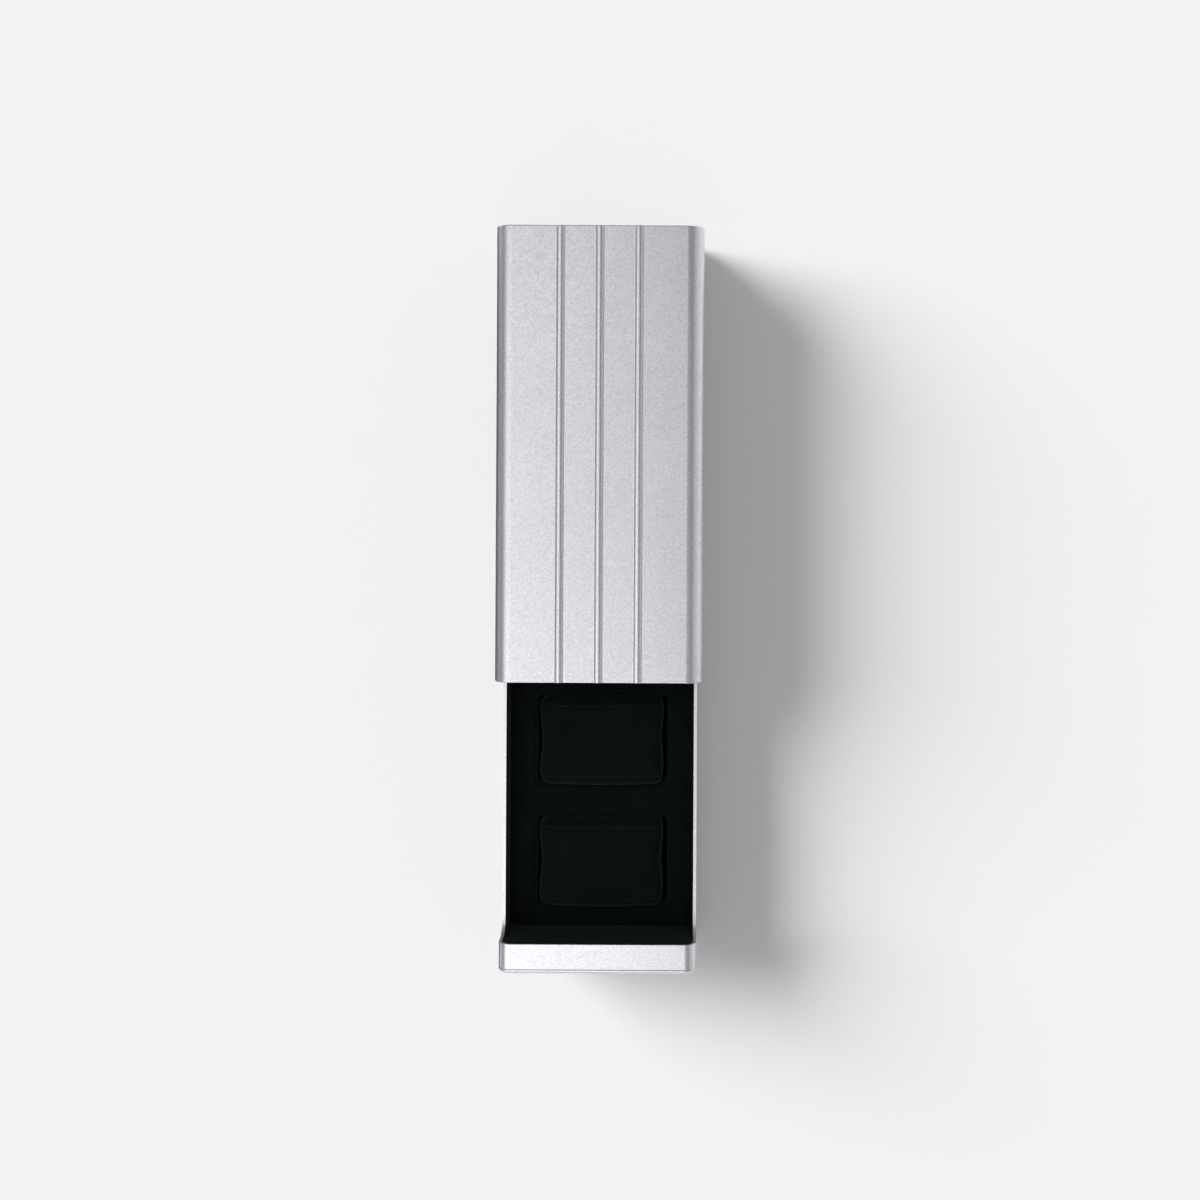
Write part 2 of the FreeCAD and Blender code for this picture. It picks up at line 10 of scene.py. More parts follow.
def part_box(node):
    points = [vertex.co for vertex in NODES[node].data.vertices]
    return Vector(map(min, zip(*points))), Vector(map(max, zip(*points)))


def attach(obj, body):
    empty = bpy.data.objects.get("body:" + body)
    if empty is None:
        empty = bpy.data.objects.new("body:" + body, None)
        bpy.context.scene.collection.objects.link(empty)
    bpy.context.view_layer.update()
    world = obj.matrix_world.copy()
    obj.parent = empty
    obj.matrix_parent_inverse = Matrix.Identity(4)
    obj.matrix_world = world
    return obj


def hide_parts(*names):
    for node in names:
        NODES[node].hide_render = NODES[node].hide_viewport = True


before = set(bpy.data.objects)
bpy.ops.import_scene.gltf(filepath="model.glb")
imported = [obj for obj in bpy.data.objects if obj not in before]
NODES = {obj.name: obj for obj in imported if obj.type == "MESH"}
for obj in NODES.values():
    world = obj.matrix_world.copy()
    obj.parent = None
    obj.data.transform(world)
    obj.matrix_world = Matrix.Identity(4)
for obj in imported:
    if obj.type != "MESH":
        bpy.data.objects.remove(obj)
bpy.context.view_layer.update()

bl_info = {
    "name": "Watch Storage Case",
    "version": (1, 0, 0),
    "blender": (4, 5, 0),
    "location": "3D View > Sidebar > Watch Case",
    "description": "Dresses a sleeve case with a sliding drawer of watch cushions",
    "category": "Object",
}

MM = 0.001
ROUND_DRAW_IN = 0.55
PANEL_ROLL = 2.6 * MM
LINER_WALL = 1.2 * MM
WELLS = ("front", "middle", "rear")
METAL_NODES = ("sleeve_shell", "rear_plate", "drawer_shell", "front_plate", "drawer_rear_wall")
GLIDE_NODES = ("bottom_glide_left", "bottom_glide_right", "side_glide_left", "side_glide_right")
LINER_NODES = tuple("well_liner_" + well for well in WELLS)
FILLER_NODES = ("front_filler", "cross_fillers", "rear_filler", "side_fillers")
SCREW_NODES = {
    "rear_plate_screws": "sleeve",
    "stop_screw": "sleeve",
    "front_plate_screws": "drawer",
    "drawer_rear_screws": "drawer",
}

# Finishes: sizes and depths of their grain.
CLOUD_SIZE = 60 * MM
PILE_DEPTH = 0.12 * MM
SHEEN_GAIN = 40
MARK_SIZE, MARK_DEPTH = 0.18 * MM, 0.004 * MM
TAPE_GRAIN, TAPE_DEPTH = 0.35 * MM, 0.01 * MM
BUSH_GRAIN, BUSH_DEPTH = 0.4 * MM, 0.004 * MM
RUBBER_GRAIN, RUBBER_DEPTH = 0.7 * MM, 0.06 * MM
THREAD_GRAIN, THREAD_DEPTH = 0.12 * MM, 0.02 * MM
FOAM_CELL, FOAM_PIT = 1.1 * MM, 0.3 * MM
FELT_SWIRL, FELT_FIBRE, FELT_DEPTH = 1.2 * MM, 0.5 * MM, 0.15 * MM
PAPER_TOOTH = 0.8 * MM

# Copies of CAD nodes: how they are cleaned, remade and softened.
WELD_DISTANCE = 0.002 * MM
FLAT_ANGLE = math.radians(0.5)
EDGE_ANGLE = math.radians(35)
PANEL_CELL, PANEL_ROUNDS = 1.0 * MM, 2
PANEL_RIPPLE, PANEL_RIPPLE_DEPTH = 16 * MM, 0.10 * MM
PAD_CELL, PAD_ROUNDS = 0.8 * MM, 4
PAD_RIPPLE, PAD_RIPPLE_DEPTH = 18 * MM, 0.18 * MM
LINING_ROUND = 0.25 * MM
FOAM_ROUND = 0.8 * MM
FLOOR_PAD_ROUND = 0.4 * MM
FELT_ROUND = 0.35 * MM

# Screws: sizes, shares of the shank or head, and numbers of sides.
HEAD_DEPTH = 1.4 * MM
SHANK_RADIUS = 1.5 * MM
THREAD_PITCH = 0.5 * MM
SOCKET_WIDTH_SHARE = 0.8
SOCKET_DEPTH_SHARE = 0.7
THREAD_CORE_SHARE = 0.82
HEAD_SIDES, SHANK_SIDES, SOCKET_SIDES = 32, 16, 6

# Cushions: shares of the swell left free, points round the outline, rows and rings of the cover.
END_SWELL_SHARE, SIDE_SWELL_SHARE = 0.5, 0.25
BASE_STEPS, BASE_ROUND_STEPS, SIDE_STEPS = 12, 6, 4
TOP_ROUND_STEPS, CROWN_STEPS = 9, 18
STRIP_ROWS = 9
END_ROW_SHARES = (0.30, 0.58, 0.80, 0.94, 1.0)
END_RING_SHARES = (0.80, 0.55, 0.28)
SEAM_MATCH = 0.01 * MM
FULLY_SEWN = 0.999
COVER_LEVELS = 2
CUSHION_CLEARANCE = 0.4 * MM
PUCKER_DEPTH, PUCKER_REACH, PUCKER_LENGTH = 0.10 * MM, 4 * MM, 9 * MM
PUCKER_TURNS = 16
PUCKER_SEED, PUCKER_SHIFT = 3, 40
STITCH_SIDES, STITCH_RINGS = 6, 5
CLOTH_FRAMES = 20
CLOTH_SETTINGS = {
    "quality": 6,
    "mass": 0.002,
    "use_pressure": True,
    "uniform_pressure_force": 4.0,
    "tension_stiffness": 12,
    "compression_stiffness": 12,
    "shear_stiffness": 4,
    "bending_stiffness": 0.4,
}

# Studio: lengths in metres.
DOME_SHARE = 0.98
DOME_SEGMENTS, DOME_RINGS = 64, 32
FLAG_LEFT, FLAG_RIGHT, FLAG_FRONT, FLAG_REAR = -0.5, -0.066, -0.36, 0.18
FLAG_LIFT = 0.5 * MM
FLAG_GREY = (0.12, 0.12, 0.12)
# Each light's compass angle from +X, height above the floor and spread, in degrees.
KEY_ANGLES = (155, 28, 36)
SOFTBOX_ANGLES = (170, 80, 80)
FILL_ANGLES = (0, 90, 170)
# Each card's middle, the way its back faces, its width, length and brightness.
CARDS = {
    "top_card": ((-0.78, -1.52, 1.5), (0, 0, 1), 1.64, 4.55, 0.93),
    "front_card": ((-0.70, -2.0, 1.6), (0, 0, 1), 1.90, 3.0, 0.60),
    "side_card": ((1.5, 0, 0.65), (1, 0, 0), 3.0, 1.3, 0.40),
}
SENSOR_WIDTH = 36
LENS_SHIFT = (-0.0725, -0.10)
LENS_CLIP = (0.01, 20)
CAMERA_X, CAMERA_Y = 52.7 * MM, -15.2 * MM
CAMERA_TURN = math.radians(0.29)


def length_property(name, words, size):
    """A length in metres that a user may change."""
    return FloatProperty(name=name, description=words, default=size, min=0, unit="LENGTH", precision=5)


def colour_property(name, words, colour):
    """A colour that a user may change."""
    return FloatVectorProperty(
        name=name, description=words, default=colour, size=3, min=0, max=1, subtype="COLOR"
    )


class CaseMetal(bpy.types.PropertyGroup):
    """Finish of the aluminium."""

    colour: colour_property("Colour", "Colour of the clear anodised metal", (0.795, 0.785, 0.836))
    roughness: FloatProperty(
        name="Roughness", description="How matt the blasting left the metal", default=0.39, min=0, max=1
    )
    grain: length_property("Grain", "Size of the blasted grain", 0.8 * MM)
    relief: length_property("Relief", "Depth of the blasted grain", 0.010 * MM)


class CaseSuede(bpy.types.PropertyGroup):
    """Finish of the suede."""

    colour: colour_property("Colour", "Colour of the suede", (0.0024, 0.0042, 0.0033))
    sheen: FloatProperty(
        name="Sheen", description="How much the pile lights up at a slant", default=0.22, min=0, max=1
    )
    pile: length_property("Pile", "Size of the pile's tufts", 0.45 * MM)
    nap: length_property("Nap", "Size of the patches where the pile lies another way", 14 * MM)


class CaseCushion(bpy.types.PropertyGroup):
    """How the cushions are cut, sewn and filled."""

    colour: colour_property("Colour", "Colour of the cushions' suede", (0.0026, 0.0050, 0.0039))
    swell: length_property("Swell", "How far the filling pushes the cover out", 1.6 * MM)
    waist: length_property("Waist", "How far the long sides draw in at their middle", 1.6 * MM)
    top_round: length_property("Top round", "Radius of the shoulders", 7 * MM)
    base_round: length_property("Base round", "Radius of the lower edges", 9 * MM)
    crown: length_property("Crown", "Rise of the top above its shoulders", 2.4 * MM)
    end_panel: length_property("End panel", "How far each end panel bulges past its seam", 6 * MM)
    end_round: length_property("End round", "How far the end panels round off at their edges", 9 * MM)
    seam_depth: length_property("Seam depth", "Depth of the sewn crease", 0.75 * MM)
    seam_width: length_property("Seam width", "Half width of the sewn crease", 0.9 * MM)
    stitch: length_property("Stitch", "Length of one stitch", 2.0 * MM)
    stitch_pitch: length_property("Stitch pitch", "From one stitch to the next", 2.7 * MM)
    thread: length_property("Thread", "Radius of the thread", 0.16 * MM)


class CaseStudio(bpy.types.PropertyGroup):
    """Floor, lights and camera."""

    floor_colour: colour_property("Floor", "Colour of the floor", (0.90, 0.90, 0.905))
    world_light: FloatProperty(name="World", description="Light from all round", default=0.24, min=0)
    key_strength: FloatProperty(
        name="Key", description="Strength of the low light that draws the floor's shadow", default=4.0, min=0
    )
    case_strength: FloatProperty(
        name="Softbox", description="Strength of the high light on the case itself", default=2.0, min=0
    )
    fill_strength: FloatProperty(
        name="Fill", description="Strength of the wide light from above", default=0.50, min=0
    )
    card_light: FloatProperty(
        name="Cards", description="Brightness of the cards that the metal mirrors", default=1.0, min=0
    )
    camera_height: length_property("Camera height", "Height of the lens above the floor", 876 * MM)
    lens: FloatProperty(
        name="Lens", description="Focal length in millimetres", default=40.14, min=1
    )


def add(tree, kind, inputs=None, **settings):
    """Add a node, with its settings and with each input either linked or set."""
    node = tree.nodes.new(kind)
    for key, value in settings.items():
        setattr(node, key, value)
    for key, value in (inputs or {}).items():
        if isinstance(value, bpy.types.NodeSocket):
            tree.links.new(value, node.inputs[key])
        else:
            node.inputs[key].default_value = value
    return node


def new_material(name, **constants):
    """A material with its shader's constant inputs set."""
    material = bpy.data.materials.new(name)
    material.use_nodes = True
    tree = material.node_tree
    surface = tree.nodes["Principled BSDF"]
    for key, value in constants.items():
        surface.inputs[key.replace("_", " ")].default_value = value
    place = add(tree, "ShaderNodeTexCoord").outputs["Object"]
    return material, tree, surface, place


def grain(tree, place, size, detail=3.0):
    """Noise whose features have the given size in metres."""
    settings = {"Vector": place, "Scale": 1 / size, "Detail": detail, "Roughness": 0.6}
    return add(tree, "ShaderNodeTexNoise", settings).outputs["Fac"]


def spread(tree, value, low, high, start=0.3, end=0.7):
    """A value from 0 to 1 spread over another range."""
    limits = {"Value": value, "From Min": start, "From Max": end, "To Min": low, "To Max": high}
    return add(tree, "ShaderNodeMapRange", limits).outputs["Result"]


def tones(tree, value, colour, dark, light, start=0.3, end=0.7):
    """A colour that runs from a darker to a lighter tone of itself."""
    ramp = add(tree, "ShaderNodeValToRGB", {"Fac": value})
    for stop, share, place in zip(ramp.color_ramp.elements, (dark, light), (start, end)):
        stop.position = place
        stop.color = [min(1, channel * share) for channel in colour] + [1]
    return ramp.outputs["Color"]


def product(tree, first, second):
    """Two colours multiplied."""
    mix = add(tree, "ShaderNodeMix", data_type="RGBA", blend_type="MULTIPLY")
    mix.inputs["Factor"].default_value = 1
    tree.links.new(first, mix.inputs["A"])
    tree.links.new(second, mix.inputs["B"])
    return mix.outputs["Result"]


def raise_relief(tree, surface, height, depth, strength=1.0):
    """Raise a relief of the given depth in metres on the surface."""
    bump = add(tree, "ShaderNodeBump", {"Height": height, "Distance": depth, "Strength": strength})
    tree.links.new(bump.outputs["Normal"], surface.inputs["Normal"])


def blasted_aluminium(metal):
    """Bead-blasted, clear anodised aluminium: a fine sparkle of pits and slow clouds of tone."""
    material, tree, surface, place = new_material("blasted_aluminium", Metallic=1.0)
    fine = grain(tree, place, metal.grain)
    coarse = grain(tree, place, 3 * metal.grain, 2.0)
    clouds = grain(tree, place, CLOUD_SIZE, 2.0)
    pitted = tones(tree, fine, metal.colour, 0.80, 1.16)
    clouded = tones(tree, clouds, (1, 1, 1), 0.97, 1.0)
    tree.links.new(product(tree, pitted, clouded), surface.inputs["Base Color"])
    rough = spread(tree, coarse, metal.roughness - 0.04, metal.roughness + 0.05)
    tree.links.new(rough, surface.inputs["Roughness"])
    height = add(tree, "ShaderNodeMath", {0: fine, 1: coarse}, operation="ADD").outputs["Value"]
    raise_relief(tree, surface, height, metal.relief)
    return material


def brushed_suede(name, suede, dye):
    """Short-piled suede: tufts, slow patches of nap and a little sheen."""
    tint = tuple(min(1, channel * SHEEN_GAIN) for channel in dye)
    material, tree, surface, place = new_material(
        name,
        Roughness=0.92,
        Specular_IOR_Level=0.04,
        Sheen_Weight=suede.sheen,
        Sheen_Roughness=0.45,
        Sheen_Tint=(*tint, 1),
    )
    pile = grain(tree, place, suede.pile)
    nap = grain(tree, place, suede.nap, 4.0)
    tufts = tones(tree, pile, dye, 0.62, 1.35)
    patches = tones(tree, nap, (1, 1, 1), 0.72, 1.0)
    tree.links.new(product(tree, tufts, patches), surface.inputs["Base Color"])
    raise_relief(tree, surface, pile, PILE_DEPTH)
    return material


def turned_steel(name, colour, roughness):
    """Bright machined metal with fine marks."""
    material, tree, surface, place = new_material(name, Metallic=1.0)
    marks = grain(tree, place, MARK_SIZE, 4.0)
    tree.links.new(tones(tree, marks, colour, 0.86, 1.05), surface.inputs["Base Color"])
    tree.links.new(spread(tree, marks, roughness - 0.07, roughness + 0.09), surface.inputs["Roughness"])
    raise_relief(tree, surface, marks, MARK_DEPTH)
    return material


def smooth_plastic(name, colour, roughness, grain_size, depth):
    """Plastic or rubber with a moulded grain."""
    material, tree, surface, place = new_material(name)
    skin = grain(tree, place, grain_size)
    tree.links.new(tones(tree, skin, colour, 0.82, 1.15), surface.inputs["Base Color"])
    tree.links.new(spread(tree, skin, roughness - 0.06, roughness + 0.08), surface.inputs["Roughness"])
    raise_relief(tree, surface, skin, depth)
    return material


def open_foam(name, colour, cell):
    """Foam whose cut cells show as pits."""
    material, tree, surface, place = new_material(name, Roughness=0.95, Specular_IOR_Level=0.2)
    cells = add(tree, "ShaderNodeTexVoronoi", {"Vector": place, "Scale": 1 / cell}).outputs["Distance"]
    tree.links.new(tones(tree, cells, colour, 0.45, 1.2, 0.1, 0.6), surface.inputs["Base Color"])
    raise_relief(tree, surface, cells, FOAM_PIT)
    return material


def pressed_felt(name, colour):
    """Felt: matted fibres that run every way."""
    material, tree, surface, place = new_material(name, Roughness=0.97, Specular_IOR_Level=0.15)
    swirl = grain(tree, place, FELT_SWIRL, 2.0)
    fibres = {"Vector": place, "Scale": 1 / FELT_FIBRE, "Distortion": 9.0, "Detail": 3.0}
    strands = add(tree, "ShaderNodeTexWave", fibres).outputs["Fac"]
    matted = add(tree, "ShaderNodeMath", {0: swirl, 1: strands}, operation="MULTIPLY").outputs["Value"]
    tree.links.new(tones(tree, matted, colour, 0.55, 1.4, 0.0, 0.6), surface.inputs["Base Color"])
    raise_relief(tree, surface, matted, FELT_DEPTH)
    return material


def studio_paper(name, colour):
    """The floor: matt paper with a barely visible tooth."""
    material, tree, surface, place = new_material(name, Roughness=0.9, Specular_IOR_Level=0.0)
    tooth = grain(tree, place, PAPER_TOOTH)
    tree.links.new(tones(tree, tooth, colour, 0.995, 1.0), surface.inputs["Base Color"])
    return material


def material_once(name, make, *values):
    """The named material, made the first time it is asked for."""
    return bpy.data.materials.get(name) or make(*values)


def suede_material(scene):
    """The suede shared by the panel, pad and linings."""
    suede = scene.case_suede
    return material_once("brushed_suede", brushed_suede, "brushed_suede", suede, suede.colour)


def new_object(name, mesh):
    """An object at the origin that holds the mesh."""
    piece = bpy.data.objects.new(name, mesh)
    bpy.context.scene.collection.objects.link(piece)
    return piece


def plain_mesh(piece):
    """Turn a piece with live modifiers into a plain mesh."""
    view = bpy.context.evaluated_depsgraph_get()
    mesh = bpy.data.meshes.new_from_object(piece.evaluated_get(view))
    old = piece.data
    piece.modifiers.clear()
    piece.data = mesh
    bpy.data.meshes.remove(old)
    return piece


def paint(piece, material):
    """Give a piece one material."""
    piece.data.materials.clear()
    piece.data.materials.append(material)


def smooth(piece):
    """Shade every face of a piece smoothly."""
    for face in piece.data.polygons:
        face.use_smooth = True


def seat(piece, body, slot, material, *nodes):
    """Paint a finished piece, join it to its body and let it stand for its nodes."""
    paint(piece, material)
    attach(piece, body)
    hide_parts(*nodes)
    return piece


def merged_copy(name, node):
    """A copy of a node's mesh with its triangles joined and its flat faces made whole."""
    form = bmesh.new()
    form.from_mesh(NODES[node].data)
    bmesh.ops.remove_doubles(form, verts=form.verts, dist=WELD_DISTANCE)
    bmesh.ops.dissolve_limit(form, angle_limit=FLAT_ANGLE, verts=form.verts, edges=form.edges)
    mesh = bpy.data.meshes.new(name)
    form.to_mesh(mesh)
    form.free()
    return new_object(name, mesh)


def rounded_copy(name, node, radius, segments=3):
    """A copy of a node with its sharp edges rounded, for thin sheets and foam blocks."""
    piece = merged_copy(name, node)
    bevel = piece.modifiers.new("edges", "BEVEL")
    bevel.width = radius
    bevel.segments = segments
    bevel.limit_method = "ANGLE"
    bevel.angle_limit = EDGE_ANGLE
    bevel.harden_normals = False
    plain_mesh(piece)
    smooth(piece)
    return piece


def soft_copy(name, node, cell, rounds):
    """A copy of a node remade in small even faces, with its edges softened."""
    piece = merged_copy(name, node)
    remesh = piece.modifiers.new("cells", "REMESH")
    remesh.mode = "VOXEL"
    remesh.voxel_size = cell
    soften = piece.modifiers.new("soften", "SMOOTH")
    soften.factor = 0.5
    soften.iterations = rounds
    plain_mesh(piece)
    smooth(piece)
    return piece


def outward(piece):
    """Which way is out at each of a piece's points."""
    return [point.normal.copy() for point in piece.data.vertices]


def ripple(piece, size, depth):
    """Push a piece's skin in by a slow uneven amount, so that hand-laid cloth isn't dead flat."""
    ways = outward(piece)
    for point, way in zip(piece.data.vertices, ways):
        lift = noise.noise(point.co / size) - 1
        point.co += way * lift * depth
    piece.data.update()


class CASE_OT_metal(bpy.types.Operator):
    """Finish the sleeve, the drawer tube and their end plates in blasted aluminium"""

    bl_idname = "watch_case.metal"
    bl_label = "Finish Aluminium"

    def execute(self, context):
        material = material_once("blasted_aluminium", blasted_aluminium, context.scene.case_metal)
        for node in METAL_NODES:
            paint(NODES[node], material)
        return {"FINISHED"}


class CASE_OT_fittings(bpy.types.Operator):
    """Finish the magnets, strike discs, glides, bush, liners and base pad"""

    bl_idname = "watch_case.fittings"
    bl_label = "Finish Fittings"

    def execute(self, context):
        nickel = turned_steel("magnet_nickel", (0.70, 0.68, 0.64), 0.22)
        steel = turned_steel("strike_steel", (0.55, 0.55, 0.56), 0.36)
        tape = smooth_plastic("glide_tape", (0.055, 0.055, 0.058), 0.42, TAPE_GRAIN, TAPE_DEPTH)
        bush = smooth_plastic("bush_acetal", (0.82, 0.81, 0.77), 0.38, BUSH_GRAIN, BUSH_DEPTH)
        rubber = smooth_plastic("pad_rubber", (0.022, 0.022, 0.023), 0.72, RUBBER_GRAIN, RUBBER_DEPTH)
        suede = context.scene.case_suede
        board = brushed_suede("flocked_board", suede, suede.colour)
        paint(NODES["catch_magnets"], nickel)
        paint(NODES["strike_discs"], steel)
        paint(NODES["stop_bush"], bush)
        paint(NODES["base_pad"], rubber)
        for node in GLIDE_NODES:
            paint(NODES[node], tape)
        for node in LINER_NODES:
            paint(NODES[node], board)
        return {"FINISHED"}


def screw_tree():
    """Countersunk screws on points: a socketed head and a shank ringed like a thread."""
    tree = bpy.data.node_groups.new("countersunk_screws", "GeometryNodeTree")
    tree.interface.new_socket("Points", in_out="INPUT", socket_type="NodeSocketGeometry")
    for name in ("Head Radius", "Head Depth", "Shank Radius", "Length", "Thread Pitch"):
        tree.interface.new_socket(name, in_out="INPUT", socket_type="NodeSocketFloat")
    tree.interface.new_socket("Material", in_out="INPUT", socket_type="NodeSocketMaterial")
    tree.interface.new_socket("Screws", in_out="OUTPUT", socket_type="NodeSocketGeometry")
    given = add(tree, "NodeGroupInput").outputs

    def sum_of(first, second, operation):
        return add(tree, "ShaderNodeMath", {0: first, 1: second}, operation=operation).outputs["Value"]

    def raised(geometry, height):
        up = add(tree, "ShaderNodeCombineXYZ", {"Z": height}).outputs["Vector"]
        return add(tree, "GeometryNodeTransform", {"Geometry": geometry, "Translation": up}).outputs[0]

    head = add(tree, "GeometryNodeMeshCone", {
        "Vertices": HEAD_SIDES,
        "Radius Top": given["Shank Radius"],
        "Radius Bottom": given["Head Radius"],
        "Depth": given["Head Depth"],
    }).outputs["Mesh"]
    socket = add(tree, "GeometryNodeMeshCylinder", {
        "Vertices": SOCKET_SIDES,
        "Radius": sum_of(given["Shank Radius"], SOCKET_WIDTH_SHARE, "MULTIPLY"),
        "Depth": sum_of(given["Head Depth"], 2 * SOCKET_DEPTH_SHARE, "MULTIPLY"),
    }).outputs["Mesh"]
    hollow = add(tree, "GeometryNodeMeshBoolean", operation="DIFFERENCE", solver="EXACT")
    tree.links.new(head, hollow.inputs["Mesh 1"])
    tree.links.new(socket, hollow.inputs["Mesh 2"])
    core = sum_of(given["Shank Radius"], THREAD_CORE_SHARE, "MULTIPLY")
    flank = sum_of(given["Thread Pitch"], 0.5, "MULTIPLY")
    sides = (("Radius Bottom", "Radius Top"), ("Radius Top", "Radius Bottom"))
    ring = add(tree, "GeometryNodeJoinGeometry")
    for index, (narrow, wide) in enumerate(sides):
        cone = add(tree, "GeometryNodeMeshCone", {
            "Vertices": SHANK_SIDES, narrow: core, wide: given["Shank Radius"], "Depth": flank,
        }, fill_type="NONE").outputs["Mesh"]
        height = sum_of(flank, index, "MULTIPLY")
        tree.links.new(raised(cone, height), ring.inputs["Geometry"])
    run = sum_of(given["Length"], given["Head Depth"], "SUBTRACT")
    count = add(tree, "ShaderNodeMath", {0: run, 1: given["Thread Pitch"]}, operation="DIVIDE")
    turns = add(tree, "FunctionNodeFloatToInt", {"Float": count.outputs["Value"]}, rounding_mode="FLOOR")
    step = add(tree, "ShaderNodeCombineXYZ", {"Z": given["Thread Pitch"]}).outputs["Vector"]
    start = add(tree, "ShaderNodeCombineXYZ", {"Z": given["Head Depth"]}).outputs["Vector"]
    line = add(tree, "GeometryNodeMeshLine", {
        "Count": turns.outputs["Integer"], "Start Location": start, "Offset": step,
    }).outputs["Mesh"]
    thread = add(tree, "GeometryNodeInstanceOnPoints", {"Points": line, "Instance": ring.outputs[0]})
    tip = add(tree, "GeometryNodeMeshCylinder", {"Vertices": SHANK_SIDES, "Radius": core, "Depth": run})
    middle = sum_of(sum_of(run, 0.5, "MULTIPLY"), given["Head Depth"], "ADD")
    whole = add(tree, "GeometryNodeJoinGeometry")
    for part in (hollow.outputs["Mesh"], thread.outputs["Instances"], raised(tip.outputs["Mesh"], middle)):
        tree.links.new(part, whole.inputs["Geometry"])
    placed = add(tree, "GeometryNodeInstanceOnPoints", {
        "Points": given["Points"], "Instance": whole.outputs[0],
    })
    real = add(tree, "GeometryNodeRealizeInstances", {"Geometry": placed.outputs["Instances"]})
    painted = add(tree, "GeometryNodeSetMaterial", {
        "Geometry": real.outputs["Geometry"], "Material": given["Material"],
    })
    add(tree, "NodeGroupOutput", {"Screws": painted.outputs["Geometry"]})
    return tree


def set_inputs(modifier, values):
    """Set a node modifier's inputs by their sockets' identifiers."""
    for item in modifier.node_group.interface.items_tree:
        if item.in_out == "INPUT" and item.name in values:
            modifier[item.identifier] = values[item.name]


def points_object(name, places):
    """An object with a bare point at each place."""
    mesh = bpy.data.meshes.new(name)
    mesh.from_pydata([tuple(place) for place in places], [], [])
    return new_object(name, mesh)


class CASE_OT_screws(bpy.types.Operator):
    """Make the countersunk screws and the stop screw with their sockets and threads"""

    bl_idname = "watch_case.screws"
    bl_label = "Make Screws"

    def execute(self, context):
        steel = turned_steel("screw_steel", (0.62, 0.62, 0.63), 0.3)
        tree = screw_tree()
        for node, body in SCREW_NODES.items():
            low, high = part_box(node)
            head = (high.y - low.y) / 2
            places = sorted({round(x, 6) for x in (low.x + head, (low.x + high.x) / 2, high.x - head)})
            row = [Vector((x, low.y + head, low.z)) for x in places]
            piece = points_object(node + "_set", row)
            modifier = piece.modifiers.new("screws", "NODES")
            modifier.node_group = tree
            set_inputs(modifier, {
                "Head Radius": head,
                "Head Depth": HEAD_DEPTH,
                "Shank Radius": SHANK_RADIUS,
                "Length": high.z - low.z,
                "Thread Pitch": THREAD_PITCH,
                "Material": steel,
            })
            plain_mesh(piece)
            seat(piece, body, "screw_steel", steel, node)
        return {"FINISHED"}


class CASE_OT_linings(bpy.types.Operator):
    """Make the suede panel, the front pad and the sheets on the drawer's walls"""

    bl_idname = "watch_case.linings"
    bl_label = "Make Linings"

    def execute(self, context):
        suede = suede_material(context.scene)
        panel = soft_copy("well_panel_cover", "well_panel", PANEL_CELL, PANEL_ROUNDS)
        ripple(panel, PANEL_RIPPLE, PANEL_RIPPLE_DEPTH)
        seat(panel, "drawer", "dark_green_suede", suede, "well_panel")
        pad = soft_copy("front_pad_cover", "front_pad", PAD_CELL, PAD_ROUNDS)
        ripple(pad, PAD_RIPPLE, PAD_RIPPLE_DEPTH)
        seat(pad, "drawer", "dark_green_suede", suede, "front_pad")
        for node in ("side_lining_left", "side_lining_right", "rear_lining"):
            sheet = rounded_copy(node + "_cover", node, LINING_ROUND)
            seat(sheet, "drawer", "dark_green_suede", suede, node)
        return {"FINISHED"}


class CASE_OT_packing(bpy.types.Operator):
    """Make the foam under the panel, the soft floors of the wells and the felt bumpers"""

    bl_idname = "watch_case.packing"
    bl_label = "Make Packing"

    def execute(self, context):
        foam = open_foam("packing_foam", (0.05, 0.05, 0.052), FOAM_CELL)
        for node in FILLER_NODES:
            block = rounded_copy(node + "_foam", node, FOAM_ROUND)
            seat(block, "drawer", "packing_foam", foam, node)
        pads = rounded_copy("well_floor_pads_cover", "well_floor_pads", FLOOR_PAD_ROUND)
        seat(pads, "drawer", "dark_green_suede", suede_material(context.scene), "well_floor_pads")
        felt = pressed_felt("bumper_felt", (0.05, 0.05, 0.05))
        bumpers = rounded_copy("rear_bumpers_felt", "rear_bumpers", FELT_ROUND)
        seat(bumpers, "sleeve", "bumper_felt", felt, "rear_bumpers")
        return {"FINISHED"}


def arc_points(centre, radius, start, end, count):
    """Points along an arc in the XZ plane, without its last one."""
    points = []
    for index in range(count):
        turn = math.radians(start + (end - start) * index / count)
        points.append((centre[0] + radius * math.cos(turn), centre[1] + radius * math.sin(turn)))
    return points


def line_points(start, end, count):
    """Points along a straight line in the XZ plane, without its last one."""
    steps = [index / count for index in range(count)]
    return [(start[0] + (end[0] - start[0]) * s, start[1] + (end[1] - start[1]) * s) for s in steps]


